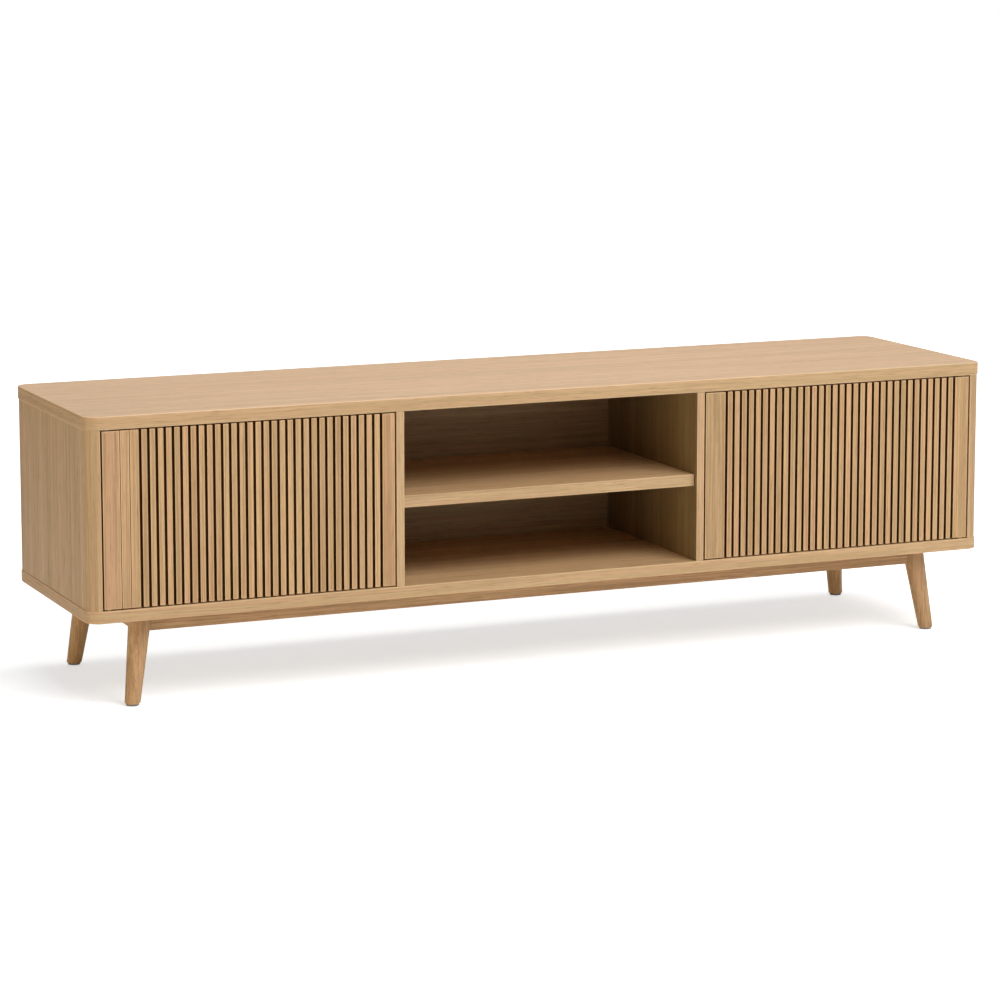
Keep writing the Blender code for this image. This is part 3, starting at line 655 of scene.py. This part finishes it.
def band_edges(panel):
    """The panel's edge band has the case's finish, in quieter wood."""
    finish(panel, "edge_oak", lambda normal: abs(normal.z) < LYING)


def finish(item, material, chosen):
    """Gives a second material to the faces whose normals are chosen."""
    item.data.materials.append(MATERIALS[material])
    for face in item.data.polygons:
        if chosen(face.normal):
            face.material_index = 1


def uprights():
    for side in SIDES:
        name = side + "_side_panel"
        low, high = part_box(name)
        radius = CORNER_RADIUS - (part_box("top_panel")[1].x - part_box("right_side_panel")[1].x)
        radii = (0, radius, radius, 0) if side == "left" else (radius, 0, 0, radius)
        panel = slab(name + "_oak", low, high, BOARD_ROUNDING, radii)
        carve(panel, [box_cutter(*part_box(side + "_back_panel"))])
        wooden(panel, name, "Z", SIDE_TONE, round_corners=True)

        name = side + "_divider"
        board = slab(name + "_oak", *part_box(name), BOARD_ROUNDING)
        holes = [pin_cutter(side, end) for end in ENDS]
        grooves = [box_cutter(*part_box(bay + "_back_panel")) for bay in (side, "centre")]
        carve(board, holes + grooves)
        wooden(board, name, "Z", DIVIDER_TONE)
        # The divider faces that look into the centre bay get painted shade, a darker oak
        inward = 1 if side == "left" else -1
        finish(board, "painted_shade_bay_oak", lambda normal, inward=inward: normal.x * inward > FLAT)


def backs():
    for bay in BAYS:
        name = bay + "_back_panel"
        low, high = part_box(name)
        panel = slab(name + "_oak", low, high, SHEET_ROUNDING)
        if bay != "centre":
            middle = middle_of(bay + "_cable_grommet")
            radius = smallest_ring(name, middle)
            depth = high.y - low.y
            base = Vector((middle.x, low.y - depth, middle.z))
            carve(panel, [lathe("cutter", base, (0, 1, 0), [(radius, 0.0), (radius, 3 * depth)])])
            cable_grommet(bay, middle, radius, low.y)
        wooden(panel, name, "X", BACK_TONE)


def middle_of(node):
    low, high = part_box(node)
    return (low + high) / 2


def smallest_ring(node, middle):
    """Smallest distance of a CAD node's vertices from a line along Y through the middle."""
    verts = frame["nodes"][node].data.vertices
    return min(math.hypot(v.co.x - middle.x, v.co.z - middle.z) for v in verts)


def cable_grommet(bay, middle, hole_radius, face_y):
    """A ring through the back panel, with a rounded flange on the cupboard side."""
    node = bay + "_cable_grommet"
    low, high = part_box(node)
    flange = (high.x - low.x) / 2
    inner = smallest_ring(node, middle)
    outer = hole_radius - LET_IN_GAP
    lip = PLASTIC_ROUNDING
    depth = high.y - low.y
    seat = face_y - low.y - LET_IN_GAP
    profile = rounded_corner(inner, 0.0, lip, (1, 1))
    profile += rounded_corner(flange, 0.0, lip, (-1, 1))[::-1]
    profile += [(flange, seat), (outer, seat), (outer, depth), (inner, depth)]
    ring = lathe(node + "_moulded", (middle.x, low.y, middle.z), (0, 1, 0), profile, closed=True)
    hard(ring, node)


def shelf():
    name = "centre_shelf"
    board = slab(name + "_oak", *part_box(name), BOARD_ROUNDING)
    wooden(board, name, "X", SHELF_TONE)
    for side in SIDES:
        for end in ENDS:
            shelf_pin(f"{side}_{end}_shelf_pin")


def shelf_pin(node):
    low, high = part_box(node)
    radius = (high.z - low.z) / 2
    length = high.x - low.x
    profile = rounded_corner(radius, 0.0, METAL_ROUNDING, (-1, 1))[::-1]
    profile += rounded_corner(radius, length, METAL_ROUNDING, (-1, -1))
    base = middle_of(node)
    base.x = low.x
    hard(lathe(node + "_turned", base, (1, 0, 0), profile), node)


# ---------------------------------------------------------------- doors

DECIMALS = 5
CARRIER_GAP = 0.0001
CARRIER_ROUNDING = 0.00015


def slat_spans(node):
    """x spans of the slats and the y levels of the comb, read from the CAD node."""
    places = [vert.co for vert in frame["nodes"][node].data.vertices]
    levels = sorted({round(place.y, DECIMALS) for place in places})
    xs = sorted({round(place.x, DECIMALS) for place in places if round(place.y, DECIMALS) == levels[0]})
    return list(zip(xs[::2], xs[1::2])), levels


def door_slats(side):
    node = side + "_door_slats"
    low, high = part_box(node)
    spans, (front, carrier_front, carrier_back) = slat_spans(node)
    shape = bmesh.new()
    for start, stop in spans:
        outline = [(stop, carrier_front), (start, carrier_front), (start, front), (stop, front)]
        add_slab(shape, outline, low.z, high.z, SLAT_ROUNDING)
    slats = from_bmesh(node + "_oak", shape)
    stamp(slats, "Z", spans=spans)
    shade(slats)
    hand_over(slats, node)
    # The slats' upright sides get the dark colour: painted shade in the grooves
    paint_gap_shade(slats)
    carrier_low = Vector((low.x, carrier_front + CARRIER_GAP, low.z))
    carrier_high = Vector((high.x, carrier_back, high.z))
    sheet = slab(side + "_door_carrier", carrier_low, carrier_high, CARRIER_ROUNDING)
    stamp(sheet, "Z", BACK_TONE)
    # The sheet behind the slats is dark: painted shade at the bottom of the grooves
    sheet.data.materials.append(MATERIALS["painted_gap_shade"])
    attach(sheet, body_of(node))


def paint_gap_shade(item):
    """Paints shade on the upright sides and most of their rounded edges, in the dark colour of the
    sheet behind the slats.
    """
    finish(item, "painted_gap_shade", lambda normal: abs(normal.x) > GAP_SHADE_ABOVE)


def door_boards(side):
    for name in sorted(frame["nodes"]):
        if not name.startswith(side + "_door_") or not name.endswith(("_stile", "_flush_board")):
            continue
        board = slab(name + "_oak", *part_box(name), BOARD_ROUNDING)
        if name.endswith("outer_stile"):
            carve(board, [plate_cutter(side, end, "door") for end in LEVELS])
        wooden(board, name, "Z", STILE_TONES[side] if name.endswith("outer_stile") else None)
        # Their upright sides get the dark colour: painted shade in the door gaps and between boards
        paint_gap_shade(board)


def door_backing(side):
    name = side + "_door_backing"
    board = slab(name + "_oak", *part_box(name), BOARD_ROUNDING)
    carve(board, [plate_cutter(side, end, "door") for end in LEVELS])
    wooden(board, name, "Z", BACK_TONE, "lining_oak")


# ---------------------------------------------------------------- legs and rails

LEG_TOP_RADIUS = 0.0205
LEG_FOOT_RADIUS = 0.014
LEG_EDGE = 0.0022
LEG_RINGS = 8
SEAT_PLAY = 0.0004


def leg_line(end, side):
    """Foot centre and top centre of a leg: over its glide, and inside its own box."""
    low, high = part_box(f"{end}_{side}_leg")
    foot = middle_of(f"{end}_{side}_foot_glide")
    foot.z = low.z
    top_x = low.x + LEG_TOP_RADIUS if side == "right" else high.x - LEG_TOP_RADIUS
    top_y = low.y + LEG_TOP_RADIUS if end == "rear" else high.y - LEG_TOP_RADIUS
    return foot, Vector((top_x, top_y, high.z))


def leg_shape(name, end, side, grow=0.0):
    """Round leg, tapered from its top to its rounded foot."""
    foot, top = leg_line(end, side)
    height = top.z - foot.z

    def ring(level, inset):
        share = level / height
        radius = LEG_FOOT_RADIUS + (LEG_TOP_RADIUS - LEG_FOOT_RADIUS) * share
        return foot + (top - foot) * share, radius - inset + grow

    foot_edge = rounded_corner(0.0, 0.0, LEG_EDGE, (1, 1))[::-1]
    rings = [ring(level, inset) for inset, level in foot_edge]
    levels = [LEG_EDGE + (height - LEG_EDGE) * step / LEG_RINGS for step in range(1, LEG_RINGS + 1)]
    rings += [ring(level, 0.0) for level in levels]
    return turned(name, rings, (1, 0, 0), (0, 1, 0))


def legs():
    for end in ENDS:
        for side in SIDES:
            node = f"{end}_{side}_leg"
            leg = leg_shape(node + "_oak", end, side)
            stamp(leg, "Z", LEG_TONES_AND_PAINTED_LIGHT[f"{end}_{side}"], round_corners=True)
            smooth(leg)
            # The rear legs take the lighter oak, painted light under the case
            hand_over(leg, node, "painted_light_rear_leg_oak" if end == "rear" else None)
            foot_glide(f"{end}_{side}_foot_glide")


def foot_glide(node):
    """A flat round glide with a rounded lower edge."""
    low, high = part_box(node)
    radius = (high.x - low.x) / 2
    height = high.z - low.z
    profile = rounded_corner(radius, 0.0, PLASTIC_ROUNDING, (-1, 1))[::-1]
    profile.append((radius, height))
    base = middle_of(node)
    base.z = low.z
    hard(lathe(node + "_moulded", base, (0, 0, 1), profile), node)


def rails():
    """Rails whose ends are hollowed round the legs."""
    for name in ENDS + SIDES:
        node = name + "_rail"
        along = "X" if name in ENDS else "Y"
        pairs = [(end, side) for end in ENDS for side in SIDES if name in (end, side)]
        rail = slab(node + "_oak", *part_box(node), BOARD_ROUNDING)
        carve(rail, [leg_shape("cutter", end, side, SEAT_PLAY) for end, side in pairs])
        wooden(rail, node, along, RAIL_TONE)


# ---------------------------------------------------------------- hinges and latches

PLATE_RADII = (PLATE_CORNER_RADIUS,) * 4
SCREW_RADIUS = 0.0032
SCREW_HEIGHT = 0.0016
SCREW_ROUNDING = 0.00112
SCREW_CROSS = (0.0036, 0.0008, 0.0009)
SCREW_FROM_EAR_END = 0.010
LATCH_BORE_DEPTH = 0.050
PLUNGER_ROD_RADIUS = 0.004
PLUNGER_HEAD_LENGTH = 0.003
PLUNGER_TIP_ROUNDING = 0.001


def bar(radius, low, high, rounding):
    """Profile of a round bar with rounded ends."""
    profile = rounded_corner(radius, low, rounding, (-1, 1))[::-1]
    return profile + rounded_corner(radius, high, rounding, (-1, -1))


def pivot_plates(side, end):
    """The case plate with its pin, and the door plate with its hole."""
    case_node = f"{side}_{end}_case_pivot_plate"
    door_node = f"{side}_{end}_door_pivot_plate"
    pivot = middle_of(side + "_pivot_washer")
    low, high = plate_box(side, end, "door")
    verts = frame["nodes"][door_node].data.vertices
    hole_radius = min(math.hypot(v.co.x - pivot.x, v.co.y - pivot.y) for v in verts)
    plate = slab(door_node + "_pressed", low, high, METAL_ROUNDING, PLATE_RADII)
    base = Vector((pivot.x, pivot.y, low.z))
    through = high.z - low.z
    hole = [(hole_radius, -through), (hole_radius, 2 * through)]
    carve(plate, [lathe("cutter", base, (0, 0, 1), hole)])
    hard(plate, door_node)

    pin_low, pin_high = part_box(case_node)
    base = Vector((pivot.x, pivot.y, pin_low.z))
    ends = (METAL_ROUNDING, pin_high.z - pin_low.z)
    if end == "upper":
        ends = (0.0, pin_high.z - pin_low.z - METAL_ROUNDING)
    profile = bar(hole_radius - LET_IN_GAP, *ends, METAL_ROUNDING)
    plate = slab(case_node + "_pressed", *plate_box(side, end, "case"), METAL_ROUNDING, PLATE_RADII)
    carve(plate, [lathe("pin", base, (0, 0, 1), profile)], "UNION")
    hard(plate, case_node)


def pivot_washer(side):
    node = side + "_pivot_washer"
    low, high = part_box(node)
    outer = (high.x - low.x) / 2
    middle = middle_of(node)
    verts = frame["nodes"][node].data.vertices
    inner = min(math.hypot(v.co.x - middle.x, v.co.y - middle.y) for v in verts)
    height = high.z - low.z
    profile = bar(outer, 0.0, height, METAL_ROUNDING) + [(inner, height), (inner, 0.0)]
    middle.z = low.z
    hard(lathe(node + "_turned", middle, (0, 0, 1), profile, closed=True), node)


def latch_body(side):
    """Moulded box with two screw ears along its top, bored for the plunger."""
    node = side + "_latch_body"
    low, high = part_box(node)
    verts = [v.co for v in frame["nodes"][node].data.vertices]
    body_x = [place.x for place in verts if place.z < low.z + LET_IN_GAP]
    ear_z = min(place.z for place in verts if place.x < low.x + LET_IN_GAP)
    body_low = Vector((min(body_x), low.y, low.z))
    body_high = Vector((max(body_x), high.y, high.z))
    body = slab(node + "_moulded", body_low, body_high, PLASTIC_ROUNDING)
    ears = slab("ears", Vector((low.x, low.y, ear_z)), high, PLASTIC_ROUNDING, PLATE_RADII)
    carve(body, [ears], "UNION")
    middle = middle_of(side + "_latch_plunger")
    radius = smallest_ring(node, middle)
    base = Vector((middle.x, low.y, middle.z))
    bore = [(radius, -LATCH_BORE_DEPTH), (radius, LATCH_BORE_DEPTH)]
    carve(body, [lathe("cutter", base, (0, 1, 0), bore)])
    hard(body, node)
    for ear, x in (("outer", (low.x + body_low.x) / 2), ("inner", (high.x + body_high.x) / 2)):
        for end, y in zip(ENDS, (low.y + SCREW_FROM_EAR_END, high.y - SCREW_FROM_EAR_END)):
            cross_screw(f"{side}_latch_{ear}_{end}_screw", (x, y, ear_z), (0, 0, -1), body_of(node))


def cross_screw(name, base, axis, body):
    """Pan head with a cross recess, its underside at the base."""
    base = Vector(base)
    axis = Vector(axis)
    profile = [(SCREW_RADIUS, 0.0)]
    profile += rounded_corner(SCREW_RADIUS, SCREW_HEIGHT, SCREW_ROUNDING, (-1, -1))
    head = lathe(name, base, axis, profile)
    along = axis.orthogonal().normalized()
    across = axis.cross(along)
    length, width, depth = SCREW_CROSS
    crown = base + axis * SCREW_HEIGHT
    slots = []
    for long_way, short_way in ((along, across), (across, along)):
        reach = long_way * length / 2 + short_way * width / 2 + axis * depth
        reach = Vector([abs(value) for value in reach])
        slots.append(box_cutter(crown - reach, crown + reach, 0.0))
    carve(head, slots)
    shade(head)
    head.data.materials.append(MATERIALS["plated_steel"])
    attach(head, body)


def latch_plunger(side):
    """Round rod with a rounded head; its tip faces the door."""
    node = side + "_latch_plunger"
    low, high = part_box(node)
    head_radius = (high.x - low.x) / 2
    length = high.y - low.y
    profile = rounded_corner(head_radius, 0.0, PLUNGER_TIP_ROUNDING, (-1, 1))[::-1]
    profile.append((head_radius, PLUNGER_HEAD_LENGTH))
    profile.append((PLUNGER_ROD_RADIUS, PLUNGER_HEAD_LENGTH))
    profile += rounded_corner(PLUNGER_ROD_RADIUS, length, METAL_ROUNDING, (-1, -1))
    base = middle_of(node)
    base.y = low.y
    hard(lathe(node + "_moulded", base, (0, 1, 0), profile), node)


def strike_plate(side):
    node = side + "_strike_plate"
    low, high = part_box(node)
    base = middle_of(node)
    base.y = low.y
    profile = bar((high.x - low.x) / 2, 0.0, high.y - low.y, METAL_ROUNDING)
    hard(lathe(node + "_pressed", base, (0, 1, 0), profile), node)


# ---------------------------------------------------------------- carried-over nodes


def carried_over():
    """The bolts and plates inside the legs keep their CAD shape."""
    for name, node in frame["nodes"].items():
        if not node.hide_render:
            node.data.materials.clear()
            node.data.materials.append(MATERIALS[slot_of(name)])


# ---------------------------------------------------------------- stage

CAMERA_PLACE = (-2.5842, -5.8749, 1.4127)
CAMERA_YAW = 23.575
CAMERA_PITCH = 8.315
CAMERA_LENS = 123.43
CAMERA_SHIFT_Y = -0.0916
LIGHTS = {
    "key": {
        "place": (2.0, -5.0, 6.0),
        "target": (0.0, 0.0, 0.3),
        "size": (5.5, 4.5),
        "power": 445.0,
    },
    "overhead": {
        "place": (0.0, 0.5, 3.2),
        "target": (0.0, 0.0, 0.4),
        "size": (3.0, 1.6),
        "power": 48.0,
    },
    "left_fill": {
        "place": (-4.0, -1.0, 0.4),
        "target": (-0.9, 0.0, 0.3),
        "size": (1.2, 0.6),
        "power": 24.0,
        "tint": (1.0, 0.82, 0.50),
    },
}
BACKDROP = colour(1.0, 1.0, 1.0)
WORLD_TINT = colour(1.0, 0.99, 0.97)
WORLD_LIGHT = 0.22
WORLD_LEAN = 0.8
FLOOR_COLOUR = colour(0.90, 0.90, 0.90)
FLOOR_ROUGHNESS = 0.6
FLOOR_SHINE = 0.2
FLOOR_GLOW = 0.585
GLOW_TINT = colour(0.957, 1.0, 1.03)
FLOOR_FADE = 0.50
FADE_FROM = 1.6
FADE_TO = 4.5
FLOOR_HALF_SIZE = 30.0
FLOOR_Z = -0.0005


def camera():
    lens = bpy.data.cameras.new("camera")
    lens.lens = CAMERA_LENS
    lens.shift_y = CAMERA_SHIFT_Y
    item = new_object("camera", lens)
    item.location = CAMERA_PLACE
    item.rotation_euler = (math.radians(90 - CAMERA_PITCH), 0.0, math.radians(-CAMERA_YAW))
    bpy.context.scene.camera = item


def area_light(name, place, target, size, power, tint=(1.0, 1.0, 1.0)):
    lamp = bpy.data.lights.new(name, "AREA")
    lamp.shape = "RECTANGLE"
    lamp.size, lamp.size_y = size
    lamp.energy = power
    lamp.color = tint
    item = new_object(name, lamp)
    item.location = place
    item.rotation_euler = (Vector(target) - Vector(place)).to_track_quat("-Z", "Y").to_euler()


def world():
    """White to the camera; as a light dimmer, and brightest from the right."""
    made = bpy.data.worlds.new("studio")
    bpy.context.scene.world = made
    made.use_nodes = True
    tree = made.node_tree
    tree.nodes.clear()
    seen = tree.nodes.new("ShaderNodeBackground")
    seen.inputs["Color"].default_value = BACKDROP
    seen.inputs["Strength"].default_value = 1.0
    lit = tree.nodes.new("ShaderNodeBackground")
    lit.inputs["Color"].default_value = WORLD_TINT
    direction = tree.nodes.new("ShaderNodeTexCoord").outputs["Generated"]
    split = tree.nodes.new("ShaderNodeSeparateXYZ")
    tree.links.new(direction, split.inputs[0])
    lean = tree.nodes.new("ShaderNodeMapRange")
    lean.inputs["From Min"].default_value = -1.0
    lean.inputs["To Min"].default_value = WORLD_LIGHT * (1 - WORLD_LEAN)
    lean.inputs["To Max"].default_value = WORLD_LIGHT * (1 + WORLD_LEAN)
    tree.links.new(split.outputs["X"], lean.inputs["Value"])
    tree.links.new(lean.outputs["Result"], lit.inputs["Strength"])
    path = tree.nodes.new("ShaderNodeLightPath")
    pick = tree.nodes.new("ShaderNodeMixShader")
    out = tree.nodes.new("ShaderNodeOutputWorld")
    tree.links.new(path.outputs["Is Camera Ray"], pick.inputs[0])
    tree.links.new(lit.outputs[0], pick.inputs[1])
    tree.links.new(seen.outputs[0], pick.inputs[2])
    tree.links.new(pick.outputs[0], out.inputs[0])


def floor():
    """A pale floor whose far part fades to the backdrop's white, and that lights the object little."""
    shape = bmesh.new()
    bmesh.ops.create_grid(shape, x_segments=1, y_segments=1, size=FLOOR_HALF_SIZE)
    plane = from_bmesh("floor", shape)
    pale = Shader("floor")
    tree = pale.tree
    pale.principled(
        Base_Color=FLOOR_COLOUR, Roughness=FLOOR_ROUGHNESS, Specular_IOR_Level=FLOOR_SHINE
    )
    glow = tree.nodes.new("ShaderNodeEmission")
    glow.inputs["Color"].default_value = GLOW_TINT
    path = tree.nodes.new("ShaderNodeLightPath")
    place = tree.nodes.new("ShaderNodeTexCoord").outputs["Object"]
    distance = tree.nodes.new("ShaderNodeVectorMath")
    distance.operation = "LENGTH"
    pale.set(distance.inputs[0], place)
    far_glow = FLOOR_GLOW + FLOOR_FADE
    fade = pale.ramp(distance.outputs["Value"], FADE_FROM, FADE_TO, FLOOR_GLOW, far_glow)
    pale.set(glow.inputs["Strength"], pale.math("MULTIPLY", path.outputs["Is Camera Ray"], fade))
    both = tree.nodes.new("ShaderNodeAddShader")
    tree.links.new(pale.surface.outputs[0], both.inputs[0])
    tree.links.new(glow.outputs[0], both.inputs[1])
    tree.links.new(both.outputs[0], tree.nodes["Material Output"].inputs["Surface"])
    plane.data.materials.append(pale.material)
    plane.location.z = FLOOR_Z


def studio():
    world()
    floor()
    for name, values in LIGHTS.items():
        area_light(name, **values)
    camera()


bpy.context.scene.view_settings.view_transform = "Standard"

case_panels()
uprights()
backs()
shelf()
for door_side in SIDES:
    door_slats(door_side)
    door_boards(door_side)
    door_backing(door_side)
    for level in LEVELS:
        pivot_plates(door_side, level)
    pivot_washer(door_side)
    latch_body(door_side)
    latch_plunger(door_side)
    strike_plate(door_side)
legs()
rails()
carried_over()
studio()
